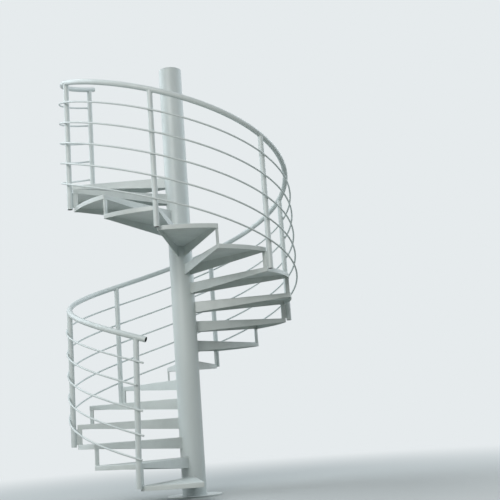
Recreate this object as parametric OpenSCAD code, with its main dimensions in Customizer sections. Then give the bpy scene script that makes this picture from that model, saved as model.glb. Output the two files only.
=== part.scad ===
// Spiral staircase, welded steel, painted white
// Origin on the pole axis at ground level, Z up, millimetres
// Climbs clockwise seen from above, first nosing toward -Y

/* [Stair layout] */
// Number of treads
tread_count = 17; // [6:1:20]
// Height from one tread to the next
riser_h = 176; // [150:1:220]
// Turn from one tread to the next, in degrees
step_angle = 28.8; // [20:0.1:36]

/* [Centre pole] */
// Outside diameter of the centre pole
pole_d = 219; // [150:1:300]
// Wall thickness of the centre pole
pole_wall = 8; // [4:0.5:16]
// Height of the pole top above the ground
pole_top = 4083; // [3000:1:5000]
// Thickness of the plate that closes the pole top
cap_t = 8; // [4:1:20]

/* [Base plate] */
// Diameter of the round base plate
base_d = 500; // [360:5:700]
// Thickness of the base plate
base_t = 12; // [8:1:30]
// Number of anchor bolt holes
anchor_count = 6; // [4:1:8]
// Diameter of each anchor bolt hole
anchor_d = 18; // [12:1:26]
// Diameter of the circle the anchor holes sit on
anchor_pcd = 420; // [280:5:640]

/* [Treads] */
// Radius of the outer edge of the treads
tread_r = 1017; // [700:1:1300]
// Thickness of the folded sheet
sheet_t = 5; // [3:0.5:8]
// Depth of the side flanges at the pole
flange_in = 100; // [60:1:150]
// Depth of the side flanges and lip at the outer edge
flange_out = 40; // [25:1:80]
// Length of the outer part of the flange with an even depth
flange_flat = 60; // [30:1:120]

/* [Struts between treads] */
// Radial width of the flat bar
strut_w = 35; // [20:1:60]
// Thickness of the flat bar
strut_t = 14; // [8:1:30]
// Distance from the tread edge in to the flat bar
strut_inset = 5; // [2:0.5:20]

/* [Rail posts] */
// Number of treads from one post to the next
post_every = 2; // [1:1:3]
// Outside diameter of the posts
post_d = 48.3; // [25:0.1:60]
// Wall thickness of the posts
post_wall = 3; // [2:0.5:5]
// Clear gap between the tread edge and the posts
post_gap = 11; // [2:0.5:60]
// How far each post hangs below its tread surface
post_drop = 20; // [0:1:60]
// Thickness of the plate that joins a post to its strut
bracket_t = 8; // [4:1:16]
// How far the top of the first post leans toward the first nosing
first_lean = 34; // [0:1:40]

/* [Handrail] */
// Outside diameter of the handrail tube
rail_d = 48.3; // [30:0.1:60]
// Wall thickness of the handrail tube
rail_wall = 3.2; // [2:0.1:6]
// Height of the handrail centre above the nosing line
rail_height = 1025; // [850:1:1150]
// Turn of the handrail below the first post, in degrees
rail_lead = 6.6; // [0.5:0.1:12]
// Turn of the handrail past the last post, in degrees
rail_tail = 3.7; // [0.5:0.1:12]
// How much less the handrail and rods climb between the last two posts
last_ease = 20; // [0:1:60]

/* [Infill rods] */
// Number of rods under the handrail
rod_count = 5; // [3:1:8]
// Diameter of the infill rods
rod_d = 16; // [10:0.5:25]
// Height from one rod to the next
rod_pitch = 196; // [90:1:250]
// Length of each rod below the first post, top rod first
rod_ends = [106, 38, 80, 80, 55]; // [0:1:200]
// Turn of the rods past the last post, in degrees
rod_tail = 3.2; // [0.5:0.1:12]

/* [Fit] */
// Gap left at welded joints between separate pieces
weld_gap = 0.3; // [0.1:0.1:1]

/* [Hidden] */
$fn = 96;
pole_r = pole_d / 2;
first_nosing = -90;
rail_r = rail_d / 2;
rod_r = rod_d / 2;
wedge_off = strut_t / 2;
strut_in = tread_r - strut_inset - strut_w;
strut_out = tread_r - strut_inset;
strut_h = riser_h - flange_out;
post_r = tread_r + post_gap + post_d / 2;
rail_z = nosing_z(post_tread(1)) + rail_height;
post_count = floor((tread_count - 1) / post_every) + 1;
post_span = post_every * step_angle;
rail_span = (post_count - 1) * post_span;
rail_seg = post_span / 10;
rail_sides = 16;
rod_seg = post_span / 8;
rod_sides = 8;
rail_path_r = post_r / cos(rail_seg / 2);
rod_mid_r = post_r + post_d / 2 + rod_r + weld_gap;
rod_path_r = rod_mid_r / cos(rod_seg / 2);
ease_from = rail_span - post_span + rod_seg / 2;
reach = 2 * tread_r;
over = 1;

steel_white = [0.88, 0.90, 0.89];
steel_shade = [0.80, 0.83, 0.82];

// Angle of the boundary above tread n, clockwise from the first nosing
function edge_angle(n) = first_nosing - n * step_angle;

// Number of the tread each post stands beside
function post_tread(p) = 1 + (p - 1) * post_every;

// Height of the nosing line at the boundary above tread n
function nosing_z(n) = (n + 1) * riser_h;

// Turn from the first post to post p, in degrees
function post_turn(p) = (p - 1) * post_span;

// Height that the handrail and rods have gained at a turn past the first post
function climb(turn) = riser_h * turn / step_angle
  - last_ease * max(0, turn - ease_from) / (rail_span - ease_from);

// Slope of a bar swept at a radius, at a turn past the first post
function bar_slope(turn, r) = atan2(climb(turn + 0.5) - climb(turn - 0.5), r * PI / 180);

// Turns, in degrees past the first post, at which a swept bar has a ring
function ring_turns(seg, lead, tail) = concat(
  [-lead],
  [for (i = [-1 : 1 : round(rail_span / seg)])
    if ((i + 0.5) * seg > over / 2 - lead && (i + 0.5) * seg < rail_span + tail - over / 2)
      (i + 0.5) * seg],
  [rail_span + tail]
);

// Radius of a ring, kept on the straight run that crosses an end post
function ring_r(path_r, seg, turn) =
  abs(turn) < seg / 2 ? path_r * cos(seg / 2) / cos(turn)
  : abs(turn - rail_span) < seg / 2 ? path_r * cos(seg / 2) / cos(turn - rail_span)
  : path_r;

// Points of one ring of a swept bar
function ring(path_r, seg, turn, z0, bar_r, sides) =
  let (
    a = edge_angle(1) - turn,
    r = ring_r(path_r, seg, turn),
    z = z0 + climb(turn),
    slope = bar_slope(turn, r)
  )
  [for (s = [0 : 1 : sides - 1])
    let (
      v = s * 360 / sides,
      out = r + bar_r * cos(v),
      side = -bar_r * sin(v) * sin(slope),
      up = bar_r * sin(v) * cos(slope)
    )
    [out * cos(a) + side * sin(a), out * sin(a) - side * cos(a), z + up]
  ];

// Faces along one skin of a swept bar, turned out or in
function skin(first, rings, sides, outward) =
  [for (i = [0 : 1 : rings - 2])
    for (s = [0 : 1 : sides - 1])
      for (half = [0, 1])
        let (
          a = first + i * sides + s,
          b = first + i * sides + (s + 1) % sides,
          c = b + sides,
          d = a + sides,
          tri = half == 0 ? [a, b, c] : [a, c, d]
        )
        outward ? tri : [tri[2], tri[1], tri[0]]
  ];

// Faces of the flat ring that closes one end of a swept tube
function tube_end(outer, inner, sides, start) =
  [for (s = [0 : 1 : sides - 1])
    for (half = [0, 1])
      let (
        a = outer + s,
        b = outer + (s + 1) % sides,
        c = inner + (s + 1) % sides,
        d = inner + s,
        tri = half == 0 ? [a, c, b] : [a, d, c]
      )
      start ? tri : [tri[2], tri[1], tri[0]]
  ];

// Solid bar swept along the stair
module swept_bar(path_r, seg, lead, tail, z0, bar_r, sides) {
  turns = ring_turns(seg, lead, tail);
  rings = len(turns);
  points = [for (t = turns) each ring(path_r, seg, t, z0, bar_r, sides)];
  last = (rings - 1) * sides;
  polyhedron(
    points = points,
    faces = concat(
      skin(0, rings, sides, true),
      [[for (s = [sides - 1 : -1 : 0]) s]],
      [[for (s = [0 : 1 : sides - 1]) last + s]]
    ),
    convexity = 8
  );
}

// Open tube swept along the stair
module swept_tube(path_r, seg, lead, tail, z0, bar_r, wall, sides) {
  turns = ring_turns(seg, lead, tail);
  rings = len(turns);
  outer = [for (t = turns) each ring(path_r, seg, t, z0, bar_r, sides)];
  inner = [for (t = turns) each ring(path_r, seg, t, z0, bar_r - wall, sides)];
  total = rings * sides;
  last = (rings - 1) * sides;
  polyhedron(
    points = concat(outer, inner),
    faces = concat(
      skin(0, rings, sides, true),
      skin(total, rings, sides, false),
      tube_end(0, total, sides, true),
      tube_end(last, total + last, sides, false)
    ),
    convexity = 8
  );
}

// Upright prism between two lines that run out from the pole, off to each side
module tread_wedge(off, z0, z1) {
  translate([0, 0, z0])
  linear_extrude(z1 - z0)
  polygon([
    [0, off],
    [reach, off],
    [reach, -reach],
    [reach * cos(step_angle) - off * sin(step_angle), -reach * sin(step_angle) - off * cos(step_angle)],
    [-off * sin(step_angle), -off * cos(step_angle)]
  ]);
}

// Side view of a tread, drawn along one straight edge and deeper toward the pole
module tread_side() {
  rotate([90, 0, 0])
  linear_extrude(2 * reach, center = true)
  polygon([
    [0, 0],
    [0, -flange_in],
    [pole_r, -flange_in],
    [tread_r - flange_flat, -flange_out],
    [reach, -flange_out],
    [reach, 0]
  ]);
}

// One tread, a sheet with its front, back and outer edges folded down
module tread(n) {
  bottom = -flange_in - over;
  translate([0, 0, n * riser_h])
  rotate([0, 0, edge_angle(n - 1)])
  difference() {
    intersection() {
      translate([0, 0, bottom])
      cylinder(h = over - bottom, r = tread_r);
      tread_wedge(wedge_off, bottom, over);
      tread_side();
      rotate([0, 0, -step_angle])
      tread_side();
    }
    intersection() {
      translate([0, 0, bottom])
      cylinder(h = -sheet_t - bottom, r = tread_r - sheet_t);
      tread_wedge(wedge_off - sheet_t, bottom - over, 0);
    }
    translate([0, 0, bottom])
    cylinder(h = over - bottom, r = pole_r);
  }
}

// Round plate under the pole with its anchor holes
module base_plate() {
  color(steel_shade)
  difference() {
    cylinder(h = base_t, d = base_d);
    for (i = [0 : 1 : anchor_count - 1])
      rotate([0, 0, (i + 0.5) * 360 / anchor_count])
      translate([anchor_pcd / 2, 0, -over])
      cylinder(h = base_t + 2 * over, d = anchor_d);
  }
}

// Centre pole from the base plate to the cap
module centre_pole() {
  color(steel_white)
  translate([0, 0, base_t])
  difference() {
    cylinder(h = pole_top - cap_t - base_t, r = pole_r);
    translate([0, 0, -over])
    cylinder(h = pole_top - cap_t - base_t + 2 * over, r = pole_r - pole_wall);
  }
}

// Flush plate that closes the pole top
module pole_cap() {
  color(steel_shade)
  translate([0, 0, pole_top - cap_t])
  cylinder(h = cap_t, r = pole_r);
}

// Tread with its colour
module tread_n(n) {
  color(n % 2 == 0 ? steel_white : steel_shade)
  tread(n);
}

// Flat bars that carry the outer corner of each tread on the one below
module tread_struts() {
  color(steel_white)
  for (n = [1 : 1 : tread_count - 1])
    rotate([0, 0, edge_angle(n)])
    translate([strut_in, -strut_t / 2, n * riser_h])
    cube([strut_w, strut_t, strut_h]);
}

// Plates that join each post to its strut, the last one to the top tread
module post_brackets() {
  color(steel_shade)
  for (p = [1 : 1 : post_count]) {
    n = post_tread(p);
    at_top = n == tread_count;
    from_r = at_top ? tread_r : strut_out;
    rotate([0, 0, edge_angle(n)])
    translate([from_r, -bracket_t / 2, at_top ? n * riser_h - flange_out : n * riser_h])
    cube([post_r - post_d / 2 - from_r, bracket_t, at_top ? flange_out : strut_h]);
  }
}

// Tube post from beside its tread up to the handrail
module rail_post(p) {
  n = post_tread(p);
  foot = n * riser_h - (n == tread_count ? flange_out : post_drop);
  rail_up = rail_z + climb(post_turn(p)) - foot;
  slope = bar_slope(post_turn(p), post_r);
  shift = p == 1 ? first_lean : 0;
  lean = atan2(shift, rail_up);
  tall = rail_up - shift * tan(slope);
  color(steel_white)
  rotate([0, 0, edge_angle(n)])
  translate([post_r, 0, foot])
  difference() {
    rotate([-lean, 0, 0])
    difference() {
      cylinder(h = tall, d = post_d);
      translate([0, 0, -over])
      cylinder(h = tall + 2 * over, d = post_d - 2 * post_wall);
    }
    translate([0, 0, rail_up])
    rotate([90 - slope, 0, 0])
    cylinder(h = 4 * rail_d, r = rail_r + weld_gap, center = true);
  }
}

// Handrail tube with open ends
module handrail() {
  color(steel_white)
  swept_tube(rail_path_r, rail_seg, rail_lead, rail_tail, rail_z,
    rail_r, rail_wall, rail_sides);
}

// One infill rod, counted from the top
module infill_rod(i) {
  lead = rod_ends[(i - 1) % len(rod_ends)] / rod_mid_r * 180 / PI;
  color(steel_shade)
  swept_bar(rod_path_r, rod_seg, lead, rod_tail, rail_z - i * rod_pitch,
    rod_r, rod_sides);
}

base_plate();
centre_pole();
pole_cap();
tread_n(1);  // tread_01
tread_n(2);  // tread_02
tread_n(3);  // tread_03
tread_n(4);  // tread_04
tread_n(5);  // tread_05
tread_n(6);  // tread_06
tread_n(7);  // tread_07
tread_n(8);  // tread_08
tread_n(9);  // tread_09
tread_n(10);  // tread_10
tread_n(11);  // tread_11
tread_n(12);  // tread_12
tread_n(13);  // tread_13
tread_n(14);  // tread_14
tread_n(15);  // tread_15
tread_n(16);  // tread_16
tread_n(17);  // tread_17
tread_struts();
post_brackets();
rail_post(1);  // rail_post_1
rail_post(2);  // rail_post_2
rail_post(3);  // rail_post_3
rail_post(4);  // rail_post_4
rail_post(5);  // rail_post_5
rail_post(6);  // rail_post_6
rail_post(7);  // rail_post_7
rail_post(8);  // rail_post_8
rail_post(9);  // rail_post_9
handrail();
infill_rod(1);  // infill_rod_1
infill_rod(2);  // infill_rod_2
infill_rod(3);  // infill_rod_3
infill_rod(4);  // infill_rod_4
infill_rod(5);  // infill_rod_5
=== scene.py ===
"""Spiral staircase of welded steel under white enamel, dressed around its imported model.

The stair climbs clockwise seen from above. Its frame has Z up, the origin on the pole axis at the
underside of the base plate, and the first nosing running out toward -Y. Lengths are in metres and
angles in radians, where nothing else is said.
"""

import logging
import math
from collections.abc import Iterable, Iterator
from contextlib import contextmanager
from dataclasses import dataclass, field
from enum import Enum
from functools import partial

import bmesh
import bpy
from bmesh.types import BMesh
from bpy.types import Material, NodeSocket, NodeTree, Object, World
from mathutils import Matrix, Vector


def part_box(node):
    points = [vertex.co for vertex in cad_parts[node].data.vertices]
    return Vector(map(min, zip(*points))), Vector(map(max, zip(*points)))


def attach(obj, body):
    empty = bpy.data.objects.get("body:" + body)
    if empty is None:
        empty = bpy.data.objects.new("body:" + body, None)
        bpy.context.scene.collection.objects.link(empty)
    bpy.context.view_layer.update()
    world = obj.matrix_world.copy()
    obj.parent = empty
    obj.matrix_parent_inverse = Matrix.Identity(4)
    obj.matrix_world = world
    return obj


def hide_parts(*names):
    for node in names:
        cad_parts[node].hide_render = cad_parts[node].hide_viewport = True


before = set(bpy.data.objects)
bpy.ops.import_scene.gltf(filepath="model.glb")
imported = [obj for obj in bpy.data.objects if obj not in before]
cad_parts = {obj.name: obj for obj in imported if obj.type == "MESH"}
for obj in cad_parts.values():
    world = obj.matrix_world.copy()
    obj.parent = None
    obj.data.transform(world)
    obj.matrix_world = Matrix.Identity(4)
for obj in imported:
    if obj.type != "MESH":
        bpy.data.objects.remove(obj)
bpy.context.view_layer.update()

log = logging.getLogger("stair")

BODY = "root"

# Kinds of node that are used again and again. A Mix node takes its two colours at inputs 6 and 7,
# and gives the mixed one at output 2.
MATH = "ShaderNodeMath"
MIX = "ShaderNodeMix"
MIX_SHADER = "ShaderNodeMixShader"
NOISE = "ShaderNodeTexNoise"
RANGE = "ShaderNodeMapRange"
VECTOR = "ShaderNodeCombineXYZ"

# Least angle between two faces at which their edge is rounded
SHARP = math.radians(50)

Point = tuple[float, float, float]
Path = list[Vector]


class Paint(Enum):
    """Where a coat of enamel sits, which decides its material."""

    POLE = "pole_paint"
    TREAD = "tread_paint"
    RAIL = "rail_paint"


def srgb(code: str) -> tuple[float, float, float, float]:
    """Turns an sRGB hex colour into the linear values that shaders read.

    Args:
        code: Six hex digits.

    Returns:
        Red, green and blue, linear, and an alpha of 1.
    """
    parts = [int(code[i : i + 2], 16) / 255 for i in (0, 2, 4)]
    red, green, blue = (c / 12.92 if c <= 0.04045 else ((c + 0.055) / 1.055) ** 2.4 for c in parts)
    return (red, green, blue, 1.0)


def add_node(
    tree: NodeTree,
    kind: str,
    inputs: dict[str | int, object] | None = None,
    out: str | int = 0,
    **settings: object,
) -> NodeSocket | None:
    """Adds a node, applies its settings, and fills or links its inputs.

    Args:
        tree: Shader or geometry tree that gets the node.
        kind: Blender's name for the type of node.
        inputs: Input name or index, with the value it holds or the output it is linked from.
        out: Name or index of the output to return.
        settings: Attributes of the node itself, such as its operation.

    Returns:
        That output, or None where the node has none.
    """
    node = tree.nodes.new(kind)
    for name, value in settings.items():
        setattr(node, name, value)
    for key, value in (inputs or {}).items():
        if isinstance(value, NodeSocket):
            tree.links.new(value, node.inputs[key])
        else:
            node.inputs[key].default_value = value
    return node.outputs[out] if node.outputs else None


def start_shader(owner: Material | World) -> partial:
    """Gives a material or a world an empty tree.

    Args:
        owner: The material or the world.

    Returns:
        The function add_node, bound to that tree.
    """
    owner.use_nodes = True
    owner.node_tree.nodes.clear()
    return partial(add_node, owner.node_tree)


# Finishes


@dataclass(frozen=True)
class Enamel:
    """White alkyd enamel, sprayed over primed mild steel and left outdoors.

    It gives the eye an even satin sheen with a faint orange peel, slightly greyer where dust and
    rain have dulled it, and a few small specks.

    Attributes:
        name: Name of the material.
        colour: Fresh coat, sRGB hex.
        dulled: Coat under dust and rain marks, sRGB hex.
        speck: Specks of dirt, sRGB hex.
        roughness: Roughness of the fresh coat.
        dull_roughness: Roughness that full dulling adds.
        dull_most: How far the dullest patch goes toward full dulling.
        dull_span: Values of the noise between which a patch goes from fresh to dullest.
        blotch: Width of the dulled patches.
        streak: How many times longer than wide the patches are, up and down.
        speck_cells: Places for a speck along one metre.
        speck_rim: Radius of a speck in cells, which is 2.5 mm.
        speck_core: Radius of its dark middle in cells, which is 1.4 mm.
        speck_most: How far that middle goes toward the colour of dirt.
        peel: Width of one dimple of the orange peel, drawn coarser than the real 1.5 mm to show.
        peel_depth: Depth of the orange peel.
    """

    name: str
    colour: str
    dulled: str
    speck: str = "7E8A88"
    roughness: float = 0.36
    dull_roughness: float = 0.16
    dull_most: float = 0.55
    dull_span: tuple[float, float] = (0.42, 0.72)
    blotch: float = 0.22
    streak: float = 1.0
    speck_cells: float = 14.0
    speck_rim: float = 0.035
    speck_core: float = 0.02
    speck_most: float = 0.6
    peel: float = 0.004
    peel_depth: float = 0.00003

    def build(self) -> Material:
        """Makes the material.

        Returns:
            A node material that reads Object coordinates only.
        """
        made = bpy.data.materials.new(self.name)
        add = start_shader(made)
        coords = add("ShaderNodeTexCoord", out="Object")
        stretch = {"Vector": coords, "Scale": (1.0, 1.0, 1 / self.streak)}
        drawn_out = add("ShaderNodeMapping", stretch)
        patches = add(
            NOISE, {"Vector": drawn_out, "Scale": 1 / self.blotch, "Detail": 5.0, "Roughness": 0.6}
        )
        low, high = self.dull_span
        dulling = add(
            RANGE, {"Value": patches, "From Min": low, "From Max": high, "To Max": self.dull_most}
        )
        cells = add("ShaderNodeTexVoronoi", {"Vector": coords, "Scale": self.speck_cells})
        rim, core, most = self.speck_rim, self.speck_core, self.speck_most
        dirt = add(RANGE, {"Value": cells, "From Min": rim, "From Max": core, "To Max": most})
        fresh, dulled = srgb(self.colour), srgb(self.dulled)
        coat = add(MIX, {0: dulling, 6: fresh, 7: dulled}, 2, data_type="RGBA")
        marked = add(MIX, {0: dirt, 6: coat, 7: srgb(self.speck)}, 2, data_type="RGBA")
        dullest = self.roughness + self.dull_roughness
        rough = add(RANGE, {"Value": dulling, "To Min": self.roughness, "To Max": dullest})
        dimples = add(
            NOISE, {"Vector": coords, "Scale": 1 / self.peel, "Detail": 2.0, "Roughness": 0.45}
        )
        bump = add(
            "ShaderNodeBump", {"Height": dimples, "Distance": self.peel_depth, "Strength": 0.5}
        )
        shader = add(
            "ShaderNodeBsdfPrincipled",
            {"Base Color": marked, "Roughness": rough, "Normal": bump, "IOR": 1.5},
        )
        add("ShaderNodeOutputMaterial", {"Surface": shader})
        return made


@dataclass(frozen=True)
class MillScale:
    """Hot-rolled steel inside the tubes, which no paint reaches.

    It gives the eye a dark blue-grey skin with thin brown rust, dull and slightly rough.

    Attributes:
        name: Name of the material.
        scale: Dark skin left by rolling, sRGB hex.
        rust: Thin rust, sRGB hex.
        patch: Width of the rust patches.
        rust_span: Values of the noise between which the skin goes over into rust.
        pitting: Depth of the rust.
        skin_roughness: Roughness of the dark skin.
        rust_roughness: Roughness of the rust.
    """

    name: str = "mill_scale_inside_tubes"
    scale: str = "34383A"
    rust: str = "5A4335"
    patch: float = 0.012
    rust_span: tuple[float, float] = (0.45, 0.62)
    pitting: float = 0.0002
    skin_roughness: float = 0.55
    rust_roughness: float = 0.85

    def build(self) -> Material:
        """Makes the material.

        Returns:
            A node material that reads Object coordinates only.
        """
        made = bpy.data.materials.new(self.name)
        add = start_shader(made)
        coords = add("ShaderNodeTexCoord", out="Object")
        patches = add(
            NOISE, {"Vector": coords, "Scale": 1 / self.patch, "Detail": 6.0, "Roughness": 0.65}
        )
        low, high = self.rust_span
        rusted = add(RANGE, {"Value": patches, "From Min": low, "From Max": high})
        colour = add(MIX, {0: rusted, 6: srgb(self.scale), 7: srgb(self.rust)}, 2, data_type="RGBA")
        rough = add(
            RANGE, {"Value": rusted, "To Min": self.skin_roughness, "To Max": self.rust_roughness}
        )
        bump = add("ShaderNodeBump", {"Height": patches, "Distance": self.pitting, "Strength": 0.4})
        shader = add(
            "ShaderNodeBsdfPrincipled", {"Base Color": colour, "Roughness": rough, "Normal": bump}
        )
        add("ShaderNodeOutputMaterial", {"Surface": shader})
        return made


FINISHES = {
    Paint.POLE: Enamel("white_enamel_pole", "D9E1E1", "C8D0D0", blotch=0.30, streak=4.0),
    Paint.TREAD: Enamel("white_enamel_treads", "D8DFDE", "C6CDCC", blotch=0.16),
    Paint.RAIL: Enamel("white_enamel_rail", "DAE2E2", "CBD3D3", blotch=0.12, peel_depth=0.00001),
}


# Layout of the stair


@dataclass(frozen=True)
class Layout:
    """Sizes that every piece shares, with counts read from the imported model.

    Attributes:
        riser: Height from one tread to the next.
        step: Turn from one tread to the next.
        first: Direction of the first nosing, from +X.
        tread_r: Radius of the outer edge of the treads.
        pole_r: Outer radius of the centre pole.
        post_gap: Gap between the treads and the posts.
        post_size: Outer diameter of a post.
        post_every: Number of treads from one post to the next.
        strut_t: Thickness of the struts, which the treads overlap each other by.
        tread_count: Number of treads.
        post_count: Number of rail posts.
    """

    riser: float = 0.176
    step: float = math.radians(28.8)
    first: float = math.radians(-90)
    tread_r: float = 1.017
    pole_r: float = 0.1095
    post_gap: float = 0.011
    post_size: float = 0.0483
    post_every: int = 2
    strut_t: float = 0.014
    tread_count: int = sum(n.startswith("tread_") and n[-1].isdigit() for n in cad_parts)
    post_count: int = sum(n.startswith("rail_post_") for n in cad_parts)

    @property
    def post_face(self) -> float:
        """Radius at which the posts' inner faces stand."""
        return self.tread_r + self.post_gap

    @property
    def post_r(self) -> float:
        """Radius of the circle that the posts stand on."""
        return self.post_face + self.post_size / 2

    @property
    def pitch(self) -> float:
        """Height that the stair gains for each radian."""
        return self.riser / self.step

    def edge(self, n: float) -> float:
        """Direction of the boundary above tread n, from +X."""
        return self.first - n * self.step

    def post_tread(self, p: int) -> int:
        """Number of the tread that post p stands beside."""
        return 1 + (p - 1) * self.post_every

    def nosing(self, n: float) -> float:
        """Height of the nosing line at the boundary above tread n."""
        return (n + 1) * self.riser

    def turned(self, n: float, lift: float = 0.0) -> Matrix:
        """Matrix that carries a shape drawn along +X to the boundary above tread n."""
        return Matrix.Translation((0, 0, lift)) @ Matrix.Rotation(self.edge(n), 4, "Z")


# Mesh helpers


def around(count: int) -> list[float]:
    """Evenly spaced angles of a full turn."""
    return [2 * math.pi * i / count for i in range(count)]


def add_object(name: str, data: bpy.types.ID) -> Object:
    """Makes an object at the origin and links it to the scene.

    Args:
        name: Name of the object.
        data: Its mesh, lamp or camera.

    Returns:
        The object.
    """
    made = bpy.data.objects.new(name, data)
    bpy.context.scene.collection.objects.link(made)
    return made


def mesh_object(
    name: str,
    verts: Iterable[Iterable[float]] = (),
    faces: Iterable[Iterable[int]] = (),
    edges: Iterable[Iterable[int]] = (),
) -> Object:
    """Makes a mesh object at the origin.

    Args:
        name: Name of the object.
        verts: Corners.
        faces: Corner numbers of each face.
        edges: Corner numbers of each loose edge.

    Returns:
        The object.
    """
    mesh = bpy.data.meshes.new(name)
    corners = [tuple(v) for v in verts]
    mesh.from_pydata(corners, [tuple(e) for e in edges], [tuple(f) for f in faces])
    mesh.update()
    return add_object(name, mesh)


def freeze(source: Object) -> Object:
    """Replaces an object's mesh with its evaluated one and removes its modifiers.

    Args:
        source: Object with modifiers.

    Returns:
        The same object, with a plain mesh.
    """
    graph = bpy.context.evaluated_depsgraph_get()
    mesh = bpy.data.meshes.new_from_object(source.evaluated_get(graph), depsgraph=graph)
    mesh.name = source.name
    source.modifiers.clear()
    old = source.data
    source.data = mesh
    bpy.data.meshes.remove(old)
    return source


@contextmanager
def reshaping(source: Object) -> Iterator[BMesh]:
    """Opens an object's mesh for work and writes it back.

    Args:
        source: Object whose mesh changes.

    Yields:
        The mesh to work on.
    """
    mesh = bmesh.new()
    mesh.from_mesh(source.data)
    yield mesh
    mesh.to_mesh(source.data)
    mesh.free()
    source.data.update()


def round_edges(mesh: BMesh, width: float, segments: int) -> None:
    """Rounds the sharp edges of a mesh.

    Args:
        mesh: Mesh to work on.
        width: Width of the rounding.
        segments: Number of faces across the rounding.
    """
    sharp = [e for e in mesh.edges if len(e.link_faces) == 2 and e.calc_face_angle() > SHARP]
    bmesh.ops.bevel(
        mesh,
        geom=sharp,
        offset=width,
        offset_type="OFFSET",
        segments=segments,
        profile=0.5,
        affect="EDGES",
        clamp_overlap=True,
    )


def shade(source: Object, crease: float) -> None:
    """Shades a mesh smooth, apart from its creases.

    Args:
        source: Object whose mesh is shaded.
        crease: Least angle between two faces, in degrees, at which their edge stays sharp.
    """
    limit = math.radians(crease)
    with reshaping(source) as mesh:
        for face in mesh.faces:
            face.smooth = True
        for edge in mesh.edges:
            edge.smooth = len(edge.link_faces) != 2 or edge.calc_face_angle() < limit


def thicken(source: Object, thickness: float) -> None:
    """Gives an open sheet its thickness, on the side away from its normals.

    Args:
        source: Object whose mesh is an open sheet.
        thickness: Thickness of the sheet.
    """
    wall = source.modifiers.new("wall", "SOLIDIFY")
    wall.thickness = thickness
    wall.offset = -1.0
    wall.use_even_offset = True
    wall.use_quality_normals = True
    freeze(source)


def ring_faces(rings: list[list[int]], closed: bool) -> list[tuple[int, ...]]:
    """Spans faces between successive rings of corners.

    Args:
        rings: Corner numbers of each ring. A ring on the axis repeats one corner.
        closed: Whether the last ring also joins the first.

    Returns:
        The faces, one strip after another.
    """
    faces = []
    for low, high in zip(rings, rings[1:] + (rings[:1] if closed else [])):
        for i in range(len(low)):
            j = (i + 1) % len(low)
            faces.append(tuple(dict.fromkeys((low[i], low[j], high[j], high[i]))))
    return faces


def box_mesh(name: str, low: Point, high: Point, rolled: float) -> Object:
    """Makes a flat bar or plate with rolled edges.

    Args:
        name: Name of the object.
        low: Lowest corner.
        high: Highest corner.
        rolled: Radius of the rolled edges.

    Returns:
        The object.
    """
    (x0, y0, z0), (x1, y1, z1) = low, high
    verts = [(x, y, z) for z in (z0, z1) for x, y in ((x0, y0), (x1, y0), (x1, y1), (x0, y1))]
    faces = [(3, 2, 1, 0), (4, 5, 6, 7)] + ring_faces([[0, 1, 2, 3], [4, 5, 6, 7]], closed=False)
    made = mesh_object(name, verts, faces)
    with reshaping(made) as mesh:
        round_edges(mesh, rolled, 2)
    return made


def lathe_mesh(name: str, profile: list[tuple[float, float]], sides: int) -> Object:
    """Turns a closed outline around the Z axis.

    Args:
        name: Name of the object.
        profile: Radius and height of each corner, in order so that the faces point outwards. A
            corner on the axis has radius 0.
        sides: Number of sides.

    Returns:
        The object.
    """
    verts: list[Point] = []
    rings: list[list[int]] = []
    for radius, z in profile:
        start = len(verts)
        if radius == 0:
            rings.append([start] * sides)
            verts.append((0, 0, z))
        else:
            rings.append(list(range(start, start + sides)))
            verts += [(radius * math.cos(a), radius * math.sin(a), z) for a in around(sides)]
    return mesh_object(name, verts, ring_faces(rings, closed=profile[0][0] > 0))


def disc_profile(
    radius: float, z0: float, z1: float, below: float, above: float
) -> list[tuple[float, float]]:
    """Outlines a flat disc with broken edges, for lathe_mesh.

    Args:
        radius: Radius of the disc.
        z0: Height of its underside.
        z1: Height of its top.
        below: Width of the lower broken edge.
        above: Width of the upper broken edge.

    Returns:
        Radius and height of each corner.
    """
    rim = [(radius - below, z0), (radius, z0 + below), (radius, z1 - above), (radius - above, z1)]
    return [(0, z0), *rim, (0, z1)]


def path_mesh(name: str, paths: list[Path], cyclic: bool) -> Object:
    """Makes a mesh of loose edges from lists of points.

    Args:
        name: Name of the object.
        paths: Points of each path.
        cyclic: Whether each path closes on itself.

    Returns:
        The object.
    """
    verts: list[Vector] = []
    edges: list[tuple[int, int]] = []
    for path in paths:
        start, end = len(verts), len(verts) + len(path) - 1
        verts += path
        edges += [(i, i + 1) for i in range(start, end)]
        if cyclic:
            edges.append((end, start))
    return mesh_object(name, verts, edges=edges)


def rounded_loop(
    low: tuple[float, float], high: tuple[float, float], radius: float
) -> list[tuple[float, float]]:
    """Outlines a rectangle with rounded corners, anticlockwise.

    Args:
        low: Lowest corner.
        high: Highest corner.
        radius: Radius of the corners.

    Returns:
        Points of the outline.
    """
    x0, x1 = low[0] + radius, high[0] - radius
    y0, y1 = low[1] + radius, high[1] - radius
    points = []
    for quarter, (x, y) in enumerate(((x0, y0), (x1, y0), (x1, y1), (x0, y1))):
        for i in range(4):
            a = math.pi + (3 * quarter + i) * math.pi / 6
            points.append((x + radius * math.cos(a), y + radius * math.sin(a)))
    return points


def join(name: str, parts: list[Object]) -> Object:
    """Joins several meshes into one object and removes the parts.

    Args:
        name: Name of the new object.
        parts: Mesh objects at the origin.

    Returns:
        The new object.
    """
    made = mesh_object(name)
    with reshaping(made) as mesh:
        for part in parts:
            mesh.from_mesh(part.data)
    for part in parts:
        bpy.data.objects.remove(part)
    return made


# Geometry Nodes


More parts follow.
